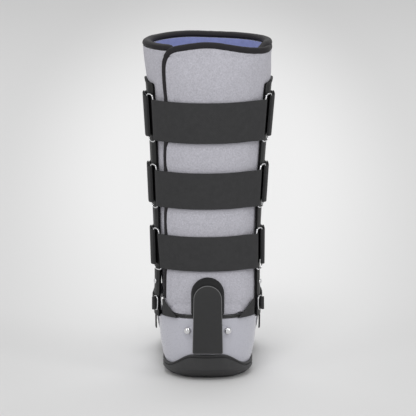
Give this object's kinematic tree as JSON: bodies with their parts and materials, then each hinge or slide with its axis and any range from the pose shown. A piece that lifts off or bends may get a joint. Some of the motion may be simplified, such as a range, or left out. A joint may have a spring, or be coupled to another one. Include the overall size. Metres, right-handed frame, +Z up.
{
  "type": "medical walking boot",
  "caption": "Tall medical walking boot: padded open liner in a rocker-soled shell, side struts, webbing straps through wire rings and a riveted heel backstay.",
  "frame": {"origin": "on the floor, under the middle of the boot's bounding box", "axes": "+Z up along the leg, +Y towards the toe, -Y the heel side, +X to the right seen from behind the heel"},
  "size_m": [0.1724, 0.301, 0.4405],
  "materials": {
    "liner_fabric": "brushed loop fabric over foam",
    "lining_fabric": "soft brushed lining",
    "binding_tape": "folded edge binding",
    "strap_webbing": "dense woven webbing",
    "shell_plastic": "satin moulded plastic",
    "black_plastic": "moulded black plastic, semi-gloss",
    "plate_plastic": "matt moulded plate",
    "sole_rubber": "matt moulded rubber",
    "chrome_wire": "bright chrome"
  },
  "bodies": {
    "root": {"anchor_plate": "shell_plastic", "ankle_ring_left": "chrome_wire", "ankle_ring_right": "chrome_wire", "ankle_strap": "strap_webbing", "backstay_pad": "strap_webbing", "backstay_plate": "plate_plastic", "flap_binding": "binding_tape", "forefoot_strap": "strap_webbing", "front_strap_lower": "strap_webbing", "front_strap_middle": "strap_webbing", "front_strap_top": "strap_webbing", "heel_gusset_left": "strap_webbing", "heel_gusset_right": "strap_webbing", "heel_rivet_left": "chrome_wire", "heel_rivet_right": "chrome_wire", "liner": "liner_fabric", "liner_flap": "liner_fabric", "lining": "lining_fabric", "rear_strap_lower": "strap_webbing", "rear_strap_middle": "strap_webbing", "rear_strap_top": "strap_webbing", "rim_trim": "black_plastic", "ring_lower_left": "chrome_wire", "ring_lower_right": "chrome_wire", "ring_middle_left": "chrome_wire", "ring_middle_right": "chrome_wire", "ring_top_left": "chrome_wire", "ring_top_right": "chrome_wire", "shell": "shell_plastic", "sole": "sole_rubber", "strut_left": "black_plastic", "strut_right": "black_plastic", "strut_rivet_left": "chrome_wire", "strut_rivet_right": "chrome_wire", "toe_binding": "binding_tape", "top_binding": "binding_tape"}
  },
  "joints": []
}
